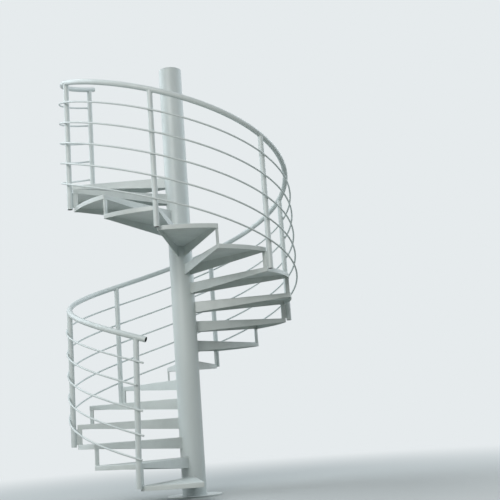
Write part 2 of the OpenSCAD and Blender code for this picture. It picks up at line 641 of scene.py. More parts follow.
class NodeShape:
    """A Geometry Nodes tree with named inputs, which can be run on an object.

    Attributes:
        tree: The tree.
        add: The function add_node, bound to the tree.
        read: Outputs of the tree's input node.
        inputs: Identifier of each named input.
    """

    def __init__(self, name: str, sockets: dict[str, tuple[str, ...]]) -> None:
        """Starts a tree.

        Args:
            name: Name of the tree.
            sockets: Type of socket, with the names of the inputs that have it. Geometry and
                Material are always there.
        """
        self.tree = bpy.data.node_groups.new(name, "GeometryNodeTree")
        self.add = partial(add_node, self.tree)
        face = self.tree.interface
        for way in ("INPUT", "OUTPUT"):
            face.new_socket("Geometry", in_out=way, socket_type="NodeSocketGeometry")
        self.inputs = {}
        for kind, labels in {**sockets, "Material": ("Material",)}.items():
            for label in labels:
                made = face.new_socket(label, in_out="INPUT", socket_type=f"NodeSocket{kind}")
                self.inputs[label] = made.identifier
        self.read = self.tree.nodes.new("NodeGroupInput").outputs

    def close(self, geometry: NodeSocket) -> None:
        """Ends the tree in Realize Instances and Set Material.

        Args:
            geometry: Output that holds the finished shape.
        """
        real = self.add("GeometryNodeRealizeInstances", {"Geometry": geometry})
        painted = self.add(
            "GeometryNodeSetMaterial", {"Geometry": real, "Material": self.read["Material"]}
        )
        self.add("NodeGroupOutput", {"Geometry": painted})

    def run(self, target: Object, **values: object) -> Object:
        """Runs the tree on an object and keeps the result as its plain mesh.

        Args:
            target: Object that gives the geometry and takes the result.
            values: Value of each named input, with spaces written as underscores.

        Returns:
            The same object.
        """
        modifier = target.modifiers.new(self.tree.name, "NODES")
        modifier.node_group = self.tree
        for label, value in values.items():
            modifier[self.inputs[label.replace("_", " ")]] = value
        return freeze(target)


def climbing_copies() -> NodeShape:
    """Makes the tree that repeats a shape up the stair, turned and lifted by whole steps.

    Returns:
        The tree.
    """
    shape = NodeShape("climbing_copies", {"Int": ("Count",), "Float": ("Turn", "Rise")})
    add, read = shape.add, shape.read
    index = add("GeometryNodeInputIndex")
    lift = add(MATH, {0: index, 1: read["Rise"]}, operation="MULTIPLY")
    turn = add(MATH, {0: index, 1: read["Turn"]}, operation="MULTIPLY")
    place = add(VECTOR, {"Z": lift})
    spin = add(VECTOR, {"Z": turn})
    points = add("GeometryNodePoints", {"Count": read["Count"], "Position": place})
    copies = add(
        "GeometryNodeInstanceOnPoints",
        {"Points": points, "Instance": read["Geometry"], "Rotation": spin},
    )
    shape.close(copies)
    return shape


def helix_bar() -> NodeShape:
    """Makes the tree that sweeps a round bar along a helix, which may climb less near its end.

    Returns:
        The tree.
    """
    lengths = ("Helix Radius", "Start Height", "Rise", "Ease Rate", "Bar Radius")
    turns = ("Start Angle", "Turn", "Ease After")
    shape = NodeShape(
        "helix_bar", {"Float": lengths + turns, "Int": ("Sides", "Rings"), "Bool": ("Capped",)}
    )
    add, read = shape.add, shape.read
    line = add("GeometryNodeCurvePrimitiveLine")
    cut = add("GeometryNodeResampleCurve", {"Curve": line, "Count": read["Rings"]})
    along = add("GeometryNodeSplineParameter", out="Factor")
    turned = add(MATH, {0: along, 1: read["Turn"]}, operation="MULTIPLY")
    angle = add(MATH, {0: read["Start Angle"], 1: turned}, operation="SUBTRACT")
    unit_x = add(MATH, {0: angle}, operation="COSINE")
    unit_y = add(MATH, {0: angle}, operation="SINE")
    x = add(MATH, {0: unit_x, 1: read["Helix Radius"]}, operation="MULTIPLY")
    y = add(MATH, {0: unit_y, 1: read["Helix Radius"]}, operation="MULTIPLY")
    past = add(MATH, {0: turned, 1: read["Ease After"]}, operation="SUBTRACT")
    late = add(MATH, {0: past, 1: 0.0}, operation="MAXIMUM")
    lost = add(MATH, {0: late, 1: read["Ease Rate"]}, operation="MULTIPLY")
    climbed = add(MATH, {0: along, 1: read["Rise"]}, operation="MULTIPLY")
    eased = add(MATH, {0: climbed, 1: lost}, operation="SUBTRACT")
    z = add(MATH, {0: read["Start Height"], 1: eased}, operation="ADD")
    place = add(VECTOR, {"X": x, "Y": y, "Z": z})
    helix = add("GeometryNodeSetPosition", {"Geometry": cut, "Position": place})
    upright = add("GeometryNodeSetCurveNormal", {"Curve": helix}, mode="Z_UP")
    ring = add(
        "GeometryNodeCurvePrimitiveCircle",
        {"Resolution": read["Sides"], "Radius": read["Bar Radius"]},
    )
    swept = add(
        "GeometryNodeCurveToMesh",
        {"Curve": upright, "Profile Curve": ring, "Fill Caps": read["Capped"]},
    )
    shape.close(swept)
    return shape


def weld_bead() -> NodeShape:
    """Makes the tree that lays a rippled weld bead along every edge path it is given.

    Returns:
        The tree.
    """
    sizes = ("Bead Radius", "Ripple", "Depth", "Unevenness", "Cluster", "Spacing", "Seed")
    shape = NodeShape("weld_bead", {"Float": sizes, "Int": ("Sides",)})
    add, read = shape.add, shape.read
    curve = add("GeometryNodeMeshToCurve", {"Mesh": read["Geometry"]})
    cut = add(
        "GeometryNodeResampleCurve", {"Curve": curve, "Length": read["Spacing"]}, mode="LENGTH"
    )
    length = add("GeometryNodeSplineParameter", out="Length")
    laid = add(MATH, {0: length, 1: 2 * math.pi}, operation="MULTIPLY")
    phase = add(MATH, {0: laid, 1: read["Ripple"]}, operation="DIVIDE")
    wave = add(MATH, {0: phase}, operation="SINE")
    waves = add(MATH, {0: wave, 1: read["Depth"]}, operation="MULTIPLY")
    place = add("GeometryNodeInputPosition")
    wander = add(
        NOISE,
        {"Vector": place, "W": read["Seed"], "Scale": read["Cluster"], "Detail": 1.0},
        noise_dimensions="4D",
    )
    off = add(MATH, {0: wander, 1: 0.5}, operation="SUBTRACT")
    uneven = add(MATH, {0: off, 1: read["Unevenness"]}, operation="MULTIPLY")
    change = add(MATH, {0: waves, 1: uneven}, operation="ADD")
    scale = add(MATH, {0: change, 1: 1.0}, operation="ADD")
    ring = add(
        "GeometryNodeCurvePrimitiveCircle",
        {"Resolution": read["Sides"], "Radius": read["Bead Radius"]},
    )
    bead = add(
        "GeometryNodeCurveToMesh",
        {"Curve": cut, "Profile Curve": ring, "Scale": scale, "Fill Caps": True},
    )
    shape.close(add("GeometryNodeSetShadeSmooth", {"Geometry": bead}))
    return shape


# Sub-assemblies


@dataclass(frozen=True)
class Bead:
    """A kind of weld bead.

    Attributes:
        radius: Radius of the bead.
        seed: Seed of its uneven width.
        paint: Coat over it.
    """

    radius: float
    seed: float
    paint: Paint


@dataclass
class Workshop:
    """What every sub-assembly needs: the layout, the paints and the node trees.

    Attributes:
        layout: Sizes that every piece shares.
        ripple: Length of one ripple of a weld bead.
        ripple_depth: Height of a ripple, as a share of the bead's radius.
        unevenness: How much the bead's width wanders, as a share of its radius.
        clusters: Wide and narrow stretches of a bead in one metre.
        bead_step: Length of one ring of faces of a bead.
        bead_sides: Number of sides of a bead.
        paints: Material of each paint.
        bare: Material of the tubes' insides.
        copies: Tree that repeats a shape up the stair.
        helix: Tree that sweeps a bar along a helix.
        beads: Tree that lays weld beads.
    """

    layout: Layout = Layout()
    ripple: float = 0.0045
    ripple_depth: float = 0.10
    unevenness: float = 0.9
    clusters: float = 90.0
    bead_step: float = 0.0018
    bead_sides: int = 8
    paints: dict[Paint, Material] = field(
        default_factory=lambda: {paint: finish.build() for paint, finish in FINISHES.items()}
    )
    bare: Material = field(default_factory=lambda: MillScale().build())
    copies: NodeShape = field(default_factory=climbing_copies)
    helix: NodeShape = field(default_factory=helix_bar)
    beads: NodeShape = field(default_factory=weld_bead)

    def finish(self, piece: Object, paint: Paint, *nodes: str, crease: float | None = 32) -> None:
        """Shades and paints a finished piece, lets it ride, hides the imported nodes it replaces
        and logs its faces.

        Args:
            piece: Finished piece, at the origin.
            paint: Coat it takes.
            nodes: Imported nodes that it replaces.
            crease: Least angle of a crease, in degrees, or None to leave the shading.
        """
        if crease is not None:
            shade(piece, crease)
        piece.data.materials.clear()
        piece.data.materials.append(self.paints[paint])
        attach(piece, BODY)
        if nodes:
            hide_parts(*nodes)
        log.info("%s: %d faces", piece.name, len(piece.data.polygons))

    def bare_inside(self, piece: Object, faces: Iterable[int]) -> None:
        """Leaves the bore of a painted tube as bare steel.

        Args:
            piece: The finished tube.
            faces: Numbers of the bore's faces.
        """
        piece.data.materials.append(self.bare)
        for i in faces:
            piece.data.polygons[i].material_index = 1

    def climb(self, source: Object, count: int, steps: int = 1) -> None:
        """Repeats a shape up the stair, within its own mesh.

        Args:
            source: Shape in its first place.
            count: Number of copies, the first one counted.
            steps: Number of treads from one copy to the next.
        """
        turn, rise = -steps * self.layout.step, steps * self.layout.riser
        self.copies.run(
            source, Count=count, Turn=turn, Rise=rise, Material=self.paints[Paint.TREAD]
        )

    def weld(
        self,
        name: str,
        paths: list[Path],
        bead: Bead,
        cyclic: bool = False,
        count: int = 1,
        steps: int = 1,
    ) -> None:
        """Lays weld beads along paths, repeated up the stair, and paints them.

        Args:
            name: Name of the piece.
            paths: Paths of the first set.
            bead: Kind of bead.
            cyclic: Whether each path closes on itself.
            count: Number of sets up the stair.
            steps: Number of treads from one set to the next.
        """
        made = path_mesh(name, paths, cyclic)
        if count > 1:
            self.climb(made, count, steps)
        self.beads.run(
            made,
            Bead_Radius=bead.radius,
            Ripple=self.ripple,
            Depth=self.ripple_depth,
            Unevenness=self.unevenness,
            Cluster=self.clusters,
            Spacing=self.bead_step,
            Sides=self.bead_sides,
            Seed=bead.seed,
            Material=self.paints[bead.paint],
        )
        self.finish(made, bead.paint, crease=None)


@dataclass
class Assembly:
    """A sub-assembly of the stair.

    Attributes:
        shop: Layout, paints and node trees that all sub-assemblies share.
    """

    shop: Workshop

    @property
    def layout(self) -> Layout:
        """Sizes that every piece shares."""
        return self.shop.layout


@dataclass
class Pole(Assembly):
    """The centre pole, its cap and its base plate.

    Attributes:
        wall: Wall thickness of the pole tube.
        base_r: Radius of the base plate.
        anchor_count: Number of anchor holes.
        anchor_r: Radius of an anchor hole.
        anchor_ring: Radius of the circle that the anchor holes sit on.
        edge: Width of the broken edges.
        sides: Number of sides of the round pieces.
        hole_sides: Number of sides of an anchor hole.
        bead: Bead around the pole foot.
        bead_parts: Number of straight parts of that bead.
        proud: How far its middle stands out from both pieces.
    """

    wall: float = 0.008
    base_r: float = 0.250
    anchor_count: int = 6
    anchor_r: float = 0.009
    anchor_ring: float = 0.210
    edge: float = 0.0012
    sides: int = 128
    hole_sides: int = 32
    bead: Bead = Bead(0.006, 3.0, Paint.POLE)
    bead_parts: int = 90
    proud: float = 0.001

    def build(self) -> None:
        """Makes the tube, the cap, the base plate and the weld around the pole foot."""
        low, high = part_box("centre_pole")
        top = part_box("pole_cap")[1].z
        r, e = self.layout.pole_r, self.edge
        bore = r - self.wall
        outline = [(bore, low.z), (r, low.z), (r, high.z - e), (r - e, high.z), (bore, high.z)]
        tube = lathe_mesh("pole_tube", outline, self.sides)
        self.shop.finish(tube, Paint.POLE, "centre_pole")
        cap = lathe_mesh("pole_cap_plate", disc_profile(r, high.z, top, e, 2 * e), self.sides)
        self.shop.finish(cap, Paint.POLE, "pole_cap")
        self._base(low.z)
        self._foot_weld(low.z + self.proud)

    def _base(self, thick: float) -> None:
        """Makes the base plate with its drilled holes.

        Args:
            thick: Thickness of the plate.
        """
        outline = disc_profile(self.base_r, 0, thick, self.edge, self.edge)
        plate = lathe_mesh("base_disc", outline, self.sides)
        r, low, high = self.anchor_r, -thick, 2 * thick
        bit = [(0, low), (r, low), (r, high), (0, high)]
        drills = []
        for i in range(self.anchor_count):
            a = 2 * math.pi * (i + 0.5) / self.anchor_count
            drill = lathe_mesh("drill", bit, self.hole_sides)
            place = (self.anchor_ring * math.cos(a), self.anchor_ring * math.sin(a), 0)
            drill.data.transform(Matrix.Translation(place))
            drills.append(drill)
        tool = join("drills", drills)
        cut = plate.modifiers.new("holes", "BOOLEAN")
        cut.operation = "DIFFERENCE"
        cut.solver = "EXACT"
        cut.object = tool
        freeze(plate)
        bpy.data.objects.remove(tool)
        self.shop.finish(plate, Paint.POLE, "base_plate")

    def _foot_weld(self, z: float) -> None:
        """Lays the bead around the pole foot.

        Args:
            z: Height of the bead's middle.
        """
        r = self.layout.pole_r + self.proud
        ring = [Vector((r * math.cos(a), r * math.sin(a), z)) for a in around(self.bead_parts)]
        self.shop.weld("pole_foot_weld", [ring], self.bead, cyclic=True)


@dataclass
class Treads(Assembly):
    """The folded sheet treads and the welds that hold them to the pole.

    Each tread is one sheet whose front, back and outer edges are folded down, open underneath.

    Attributes:
        sheet: Thickness of the sheet.
        flange_in: Depth of the side flanges at the pole.
        flange_out: Depth of the flanges and the lip at the outer edge.
        flange_flat: Length of the outer part of the flange with an even depth.
        fold_r: Outer radius of the folds.
        fold_parts: Number of faces across a fold.
        lip_parts: Number of straight parts of the outer arc.
        root_parts: Number of straight parts of the arc at the pole.
        bead: Bead at the pole.
        proud: How far its middle stands out from the sheet and the pole.
    """

    sheet: float = 0.005
    flange_in: float = 0.100
    flange_out: float = 0.040
    flange_flat: float = 0.060
    fold_r: float = 0.0065
    fold_parts: int = 4
    lip_parts: int = 30
    root_parts: int = 10
    bead: Bead = Bead(0.0045, 1.0, Paint.TREAD)
    proud: float = 0.0008

    def build(self) -> None:
        """Makes every tread and the welds at the pole."""
        layout = self.layout
        pattern = self._folded_sheet()
        for n in range(1, layout.tread_count + 1):
            made = add_object(f"folded_tread_{n:02d}", pattern.data.copy())
            made.data.transform(layout.turned(n - 1, n * layout.riser))
            self.shop.finish(made, Paint.TREAD, f"tread_{n:02d}", crease=40)
        bpy.data.objects.remove(pattern)
        self._root_welds()

    def _arc(self, radius: float, parts: int, z: float = 0.0) -> Path:
        """Finds points on a circle from the front edge to the back edge of a tread.

        Args:
            radius: Radius of the circle.
            parts: Number of straight parts.
            z: Height of the points.

        Returns:
            The points.
        """
        layout = self.layout
        past = math.asin(layout.strut_t / 2 / radius)
        span = layout.step + 2 * past
        angles = [past - span * i / parts for i in range(parts + 1)]
        return [Vector((radius * math.cos(a), radius * math.sin(a), z)) for a in angles]

    def _folded_sheet(self) -> Object:
        """Makes one tread with its front edge along +X and its top at height 0.

        Returns:
            The tread, a closed sheet with rounded folds.
        """
        layout = self.layout
        lip = Vector((0, 0, -self.flange_out))
        root = Vector((0, 0, -self.flange_in))
        knee_share = self.flange_flat / (layout.tread_r - layout.pole_r)
        made = mesh_object("tread_pattern")
        with reshaping(made) as mesh:
            outer = [mesh.verts.new(p) for p in self._arc(layout.tread_r, self.lip_parts)]
            inner = [mesh.verts.new(p) for p in self._arc(layout.pole_r, self.root_parts)]
            below = [mesh.verts.new(v.co + lip) for v in outer]
            top = mesh.faces.new(inner + outer[::-1])
            for i in range(self.lip_parts):
                mesh.faces.new((outer[i], outer[i + 1], below[i + 1], below[i]))
            for end in (0, -1):
                knee = mesh.verts.new(outer[end].co.lerp(inner[end].co, knee_share) + lip)
                deep = mesh.verts.new(inner[end].co + root)
                mesh.faces.new((inner[end], outer[end], below[end], knee, deep))
            bmesh.ops.recalc_face_normals(mesh, faces=mesh.faces)
            if top.normal.z < 0:
                bmesh.ops.reverse_faces(mesh, faces=mesh.faces)
            round_edges(mesh, self.fold_r, self.fold_parts)
        thicken(made, self.sheet)
        return made

    def _root_welds(self) -> None:
        """Lays the beads where the treads meet the pole, up one flange, across and down."""
        layout = self.layout
        front, *middle, back = self._arc(layout.pole_r + self.proud, self.root_parts, self.proud)
        side = Vector((0, self.proud, 0))
        front += side
        back -= Matrix.Rotation(-layout.step, 3, "Z") @ side
        down = Vector((0, 0, -self.flange_in))
        turn = layout.turned(0, layout.riser)
        path = [turn @ p for p in (front + down, front, *middle, back, back + down)]
        self.shop.weld("tread_root_welds", [path], self.bead, count=layout.tread_count)


@dataclass
class Struts(Assembly):
    """The flat bars that carry each tread's outer corner on the tread below.

    Attributes:
        width: Radial width of the bar.
        inset: Distance from the tread edge in to the bar.
        lip: Depth of the tread's outer lip, above which a bar ends.
        rolled: Radius of the bar's rolled edges.
        bead: Bead around both ends.
        bead_corner: Radius at which a bead goes round the bar's corners.
        proud: How far its middle stands off the treads.
    """

    width: float = 0.035
    inset: float = 0.005
    lip: float = 0.040
    rolled: float = 0.0015
    bead: Bead = Bead(0.0032, 5.0, Paint.TREAD)
    bead_corner: float = 0.003
    proud: float = 0.0008

    @property
    def height(self) -> float:
        """Length of a bar, from a tread's top to the lip above."""
        return self.layout.riser - self.lip

    @property
    def outer(self) -> float:
        """Radius of a bar's outer face."""
        return self.layout.tread_r - self.inset

    def build(self) -> None:
        """Makes all bars, and the welds at their two ends."""
        layout = self.layout
        count, half = layout.tread_count - 1, layout.strut_t / 2
        turn = layout.turned(1, layout.riser)
        low, high = (self.outer - self.width, -half), (self.outer, half)
        bars = box_mesh("strut_bars", (*low, 0), (*high, self.height), self.rolled)
        bars.data.transform(turn)
        self.shop.climb(bars, count)
        self.shop.finish(bars, Paint.TREAD, "tread_struts")
        outline = rounded_loop(low, high, self.bead_corner)
        ends = (self.proud, self.height - self.proud)
        loops = [[turn @ Vector((x, y, z)) for x, y in outline] for z in ends]
        self.shop.weld("strut_welds", loops, self.bead, cyclic=True, count=count)


@dataclass(frozen=True)
class PostLine:
    """How one post stands and meets the handrail, drawn with the middle of its foot at the origin.

    X points away from the stair, Y against the climb and Z up.

    Attributes:
        place: Matrix that carries the foot to its place on the stair.
        rail_up: Height of the handrail's centre above the foot.
        slope: Slope of the handrail there.
        lean: How far the post leans against the climb.
    """

    place: Matrix
    rail_up: float
    slope: float
    lean: float

    def foot(self, angle: float, radius: float) -> Vector:
        """Point of the foot, at an angle and a radius from the post's axis."""
        flat = Vector((radius * math.cos(angle), radius * math.sin(angle), 0))
        return Matrix.Rotation(-self.lean, 3, "X") @ flat

    def under_rail(self, angle: float, radius: float, rail_r: float) -> Vector:
        """Finds where the post meets the underside of the handrail.

        Args:
            angle: Direction around the post, where 0 points away from the stair.
            radius: Distance from the post's axis.
            rail_r: Distance from the handrail's axis.

        Returns:
            The point.
        """
        start = self.foot(angle, radius)
        up = Matrix.Rotation(-self.lean, 3, "X") @ Vector((0, 0, 1))
        along = Vector((0, -math.cos(self.slope), math.sin(self.slope)))
        away = start - Vector((0, 0, self.rail_up))
        away -= along * away.dot(along)
        rise = up - along * up.dot(along)
        half = away.dot(rise)
        inside = half**2 - rise.length_squared * (away.length_squared - rail_r**2)
        return start + up * (-half - math.sqrt(max(0.0, inside))) / rise.length_squared

    def crossing(self, drop: float, slope: float) -> Vector:
        """Finds where the post's axis passes a rod.

        Args:
            drop: How far the rod hangs below the handrail's centre.
            slope: Slope of the rod.

        Returns:
            The point.
        """
        side = math.tan(self.lean)
        y = side * (self.rail_up - drop) / (1 + side * math.tan(slope))
        return Vector((0, y, self.rail_up - drop - y * math.tan(slope)))


@dataclass(frozen=True)
class Bar:
    """A round bar or tube that is bent to the railing's helix.

    Attributes:
        radius: Outer radius.
        sides: Number of sides.
        rings: Number of rings along it.
        wall: Wall thickness of a tube, or 0 for a solid bar.
    """

    radius: float
    sides: int
    rings: int
    wall: float = 0.0


@dataclass
class Railing(Assembly):
    """The posts, their brackets, the handrail and the infill rods, with their welds.

    Attributes:
        struts: The bars that the brackets join.
        rail: The handrail tube.
        rail_height: Height of the handrail's centre above the nosing line.
        rail_lead: Turn of the handrail below the first post.
        rail_tail: Turn of the handrail past the last post.
        post_wall: Wall thickness of a post.
        post_drop: How far a post hangs below its tread's top.
        post_sides: Number of sides of a post.
        bracket_t: Thickness of a bracket.
        bracket_edge: Radius of a bracket's rolled edges.
        rod: An infill rod.
        rod_edge: Width of the broken edge at a rod's ends.
        rod_pitch: Height from one rod to the next.
        rod_ends: Length of each rod below the first post, top rod first.
        rod_tail: Turn of the rods past the last post.
        first_lean: How far the top of the first post leans toward the first nosing.
        last_ease: How much less the handrail and rods climb between the last two posts.
        ease_start: Share of that last bay that is climbed before the easing starts.
        gap: Gap between pieces that a weld closes.
        saddle_bead: Bead around a post's top, under the handrail.
        saddle_parts: Number of straight parts of that bead.
        saddle_proud: How far its middle stands out from post and handrail.
        bracket_bead: Bead along a bracket.
        bracket_ends: Distance from a bracket's ends to its beads.
        strut_side: Distances of a bead's middle off the strut's face and off the bracket's.
        post_side: Distances of a bead's middle off the post's face and off the bracket's.
        rod_bead: Bead where a rod crosses a post.
        rod_bead_length: Length of that bead.
        rod_bead_parts: Number of its straight parts.
        rod_bead_off: Distance of its middle from the rod's middle.
        rod_bead_proud: How far its middle stands out from the post.
        rod_bead_bend: How far its ends bend back round the post, over half its length squared.
    """

    struts: Struts
    rail: Bar = Bar(0.02415, 56, 460, 0.0032)
    rail_height: float = 1.025
    rail_lead: float = math.radians(6.6)
    rail_tail: float = math.radians(3.7)
    post_wall: float = 0.003
    post_drop: float = 0.020
    post_sides: int = 40
    bracket_t: float = 0.008
    bracket_edge: float = 0.001
    rod: Bar = Bar(0.008, 16, 300)
    rod_edge: float = 0.0008
    rod_pitch: float = 0.196
    rod_ends: tuple[float, ...] = (0.106, 0.038, 0.080, 0.080, 0.055)
    rod_tail: float = math.radians(3.2)
    first_lean: float = 0.034
    last_ease: float = 0.020
    ease_start: float = 1 / 16
    gap: float = 0.0003
    saddle_bead: Bead = Bead(0.0032, 7.0, Paint.RAIL)
    saddle_parts: int = 48
    saddle_proud: float = 0.0006
    bracket_bead: Bead = Bead(0.0026, 9.0, Paint.TREAD)
    bracket_ends: float = 0.004
    strut_side: tuple[float, float] = (0.001, 0.0005)
    post_side: tuple[float, float] = (-0.0002, 0.0008)
    rod_bead: Bead = Bead(0.0026, 11.0, Paint.RAIL)
    rod_bead_length: float = 0.018
    rod_bead_parts: int = 4
    rod_bead_off: float = 0.0062
    rod_bead_proud: float = 0.001
    rod_bead_bend: float = 14.0

    @property
    def rod_helix(self) -> float:
        """Radius of the helix that the rods' centres follow."""
        return self.layout.post_r + self.layout.post_size / 2 + self.rod.radius + self.gap

    @property
    def bay(self) -> float:
        """Turn from one post to the next."""
        return self.layout.post_every * self.layout.step

    @property
    def span(self) -> float:
        """Turn from the first post to the last."""
        return (self.layout.post_count - 1) * self.bay

    @property
    def eased(self) -> float:
        """Turn past the first post from which the handrail and rods climb less."""
        return self.span - self.bay * (1 - self.ease_start)

    @property
    def ease_rate(self) -> float:
        """Height that is lost for each radian past that turn."""
        return self.last_ease / (self.span - self.eased)

    def build(self) -> None:
        """Makes the whole railing."""
        self._posts()
        self._brackets()
        self._handrail()
        self._rods()
        self._saddle_welds()
        self._bracket_welds()
        self._rod_welds()

    def _climb(self, turn: float) -> float:
        """Height that the handrail and rods have gained at a turn past the first post."""
        return self.layout.pitch * turn - self.ease_rate * max(0.0, turn - self.eased)

    def _slope(self, turn: float, radius: float) -> float:
        """Slope of a bar on a radius, at a turn past the first post."""
        near = 0.01
        return math.atan2(self._climb(turn + near) - self._climb(turn - near), 2 * near * radius)

    def _post_lines(self) -> list[PostLine]:
        """Finds how every post stands and meets the handrail.

        Returns:
            One entry for each post, from the bottom up.
        """
        layout = self.layout
        lines = []
        for p in range(1, layout.post_count + 1):
            n = layout.post_tread(p)
            turn = (n - 1) * layout.step
            drop = self.struts.lip if n == layout.tread_count else self.post_drop
            foot = n * layout.riser - drop
            rail_up = layout.nosing(1) + self.rail_height + self._climb(turn) - foot
            place = layout.turned(n, foot) @ Matrix.Translation((layout.post_r, 0, 0))
            lean = math.atan2(self.first_lean, rail_up) if p == 1 else 0.0
            lines.append(PostLine(place, rail_up, self._slope(turn, layout.post_r), lean))
        return lines

    def _posts(self) -> None:
        """Makes each post, an open tube cut to a saddle under the handrail."""
        outer = self.layout.post_size / 2
        bore = outer - self.post_wall
        sides, seat = self.post_sides, self.rail.radius + self.gap
        rings = [list(range(k * sides, (k + 1) * sides)) for k in range(4)]
        for p, line in enumerate(self._post_lines(), start=1):
            verts = [line.foot(a, outer) for a in around(sides)]
            verts += [line.under_rail(a, r, seat) for r in (outer, bore) for a in around(sides)]
            verts += [line.foot(a, bore) for a in around(sides)]
            made = mesh_object(f"post_tube_{p}", verts, ring_faces(rings, closed=True))
            made.data.transform(line.place)
            self.shop.finish(made, Paint.RAIL, f"rail_post_{p}")
            self.shop.bare_inside(made, range(2 * sides, 3 * sides))

    def _brackets(self) -> None:
        """Makes the plates between the posts and the struts, the last one on the top tread."""
        layout, half = self.layout, self.bracket_t / 2
        low, high = (self.struts.outer, -half, 0), (layout.post_face, half, self.struts.height)
        plate = box_mesh("plates", low, high, self.bracket_edge)
        plate.data.transform(layout.turned(1, layout.riser))
        self.shop.climb(plate, layout.post_count - 1, layout.post_every)
        low, high = (layout.tread_r, -half, -self.struts.lip), (layout.post_face, half, 0)
        last = box_mesh("last", low, high, self.bracket_edge)
        last.data.transform(layout.turned(layout.tread_count, layout.tread_count * layout.riser))
        made = join("bracket_plates", [plate, last])
        self.shop.finish(made, Paint.TREAD, "post_brackets")

    def _sweep(
        self, name: str, bar: Bar, radius: float, drop: float, lead: float, tail: float
    ) -> Object:
        """Sweeps a bar along the railing's helix.

        Args:
            name: Name of the object.
            bar: The bar.
            radius: Radius of the helix.
            drop: Height below the handrail's centre.
            lead: Turn below the first post.
            tail: Turn past the last post.

        Returns:
            The solid bar, or the outer skin of the tube.
        """
        layout = self.layout
        turn = lead + self.span + tail
        return self.shop.helix.run(
            mesh_object(name),
            Helix_Radius=radius,
            Start_Angle=layout.edge(1) + lead,
            Turn=turn,
            Start_Height=layout.nosing(1) + self.rail_height - drop - layout.pitch * lead,
            Rise=layout.pitch * turn,
            Ease_After=lead + self.eased,
            Ease_Rate=self.ease_rate,
            Bar_Radius=bar.radius,
            Sides=bar.sides,
            Rings=bar.rings,
            Capped=not bar.wall,
            Material=self.shop.paints[Paint.RAIL],
        )

    def _handrail(self) -> None:
        """Makes the handrail tube, with open sawn ends."""
        radius, lead, tail = self.layout.post_r, self.rail_lead, self.rail_tail
        made = self._sweep("handrail_tube", self.rail, radius, 0.0, lead, tail)
        skin = len(made.data.polygons)
        thicken(made, self.rail.wall)
        self.shop.finish(made, Paint.RAIL, "handrail", crease=50)
        self.shop.bare_inside(made, range(skin, 2 * skin))

    def _rods(self) -> None:
        """Makes the infill rods, with sawn ends at uneven lengths below the first post."""
        radius = self.rod_helix
        for i, end in enumerate(self.rod_ends, start=1):
            name, drop = f"infill_bar_{i}", i * self.rod_pitch
            made = self._sweep(name, self.rod, radius, drop, end / radius, self.rod_tail)
            with reshaping(made) as mesh:
                round_edges(mesh, self.rod_edge, 1)
            self.shop.finish(made, Paint.RAIL, f"infill_rod_{i}", crease=50)

    def _saddle_welds(self) -> None:
        """Lays the beads around the post tops, under the handrail."""
        radius = self.layout.post_size / 2 + self.saddle_proud
        seat = self.rail.radius + self.saddle_proud
        loops = [
            [line.place @ line.under_rail(a, radius, seat) for a in around(self.saddle_parts)]
            for line in self._post_lines()
        ]
        self.shop.weld("post_top_welds", loops, self.saddle_bead, cyclic=True)

    def _bracket_welds(self) -> None:
        """Lays the upright beads on both sides of each bracket, at the strut and at the post."""
        layout = self.layout
        turn = layout.turned(1, layout.riser)
        ends = (self.bracket_ends, self.struts.height - self.bracket_ends)
        places = ((self.struts.outer, self.strut_side), (layout.post_face, self.post_side))
        paths = [
            [turn @ Vector((face + out, side * (self.bracket_t / 2 + off), z)) for z in ends]
            for side in (-1, 1)
            for face, (out, off) in places
        ]
        count, steps = layout.post_count - 1, layout.post_every
        self.shop.weld("bracket_welds", paths, self.bracket_bead, count=count, steps=steps)

    def _rod_welds(self) -> None:
        """Lays two short beads where each rod crosses a post, above and below the rod."""
        face = Vector((self.layout.post_size / 2 + self.rod_bead_proud, 0, 0))
        parts = self.rod_bead_parts
        steps = [self.rod_bead_length * (k / parts - 0.5) for k in range(parts + 1)]
        bends = [Vector((self.rod_bead_bend * s * s, 0, 0)) for s in steps]
        paths = []
        for p, line in enumerate(self._post_lines()):
            slope = self._slope(p * self.bay, self.rod_helix)
            along = Vector((0, -math.cos(slope), math.sin(slope)))
            across = Vector((0, math.sin(slope), math.cos(slope)))
            for i in range(1, len(self.rod_ends) + 1):
                middle = line.crossing(i * self.rod_pitch, slope) + face
                for side in (-self.rod_bead_off, self.rod_bead_off):
                    start = middle + across * side
                    path = [start + along * s - bend for s, bend in zip(steps, bends)]
                    paths.append([line.place @ point for point in path])
        self.shop.weld("rod_welds", paths, self.rod_bead)


# Studio


@dataclass(frozen=True)
class SoftLight:
    """A square soft light that faces the middle of the stair.

    Attributes:
        name: Name of the lamp.
        place: Where it hangs.
        size: Length of its sides.
        power: Power, in watts.
        colour: Colour, sRGB hex.
        aim: Height on the pole axis that it faces.
    """

    name: str
    place: Point
    size: float
    power: float
    colour: str
    aim: float = 2.0

    def hang(self) -> None:
        """Makes the lamp, which the camera doesn't see."""
        data = bpy.data.lights.new(self.name, "AREA")
        data.shape = "SQUARE"
        data.size = self.size
        data.energy = self.power
        data.color = srgb(self.colour)[:3]
        made = add_object(self.name, data)
        made.location = self.place
        made.rotation_mode = "QUATERNION"
        toward = Vector((0, 0, self.aim)) - Vector(self.place)
        made.rotation_quaternion = toward.to_track_quat("-Z", "Y")
        made.visible_camera = False


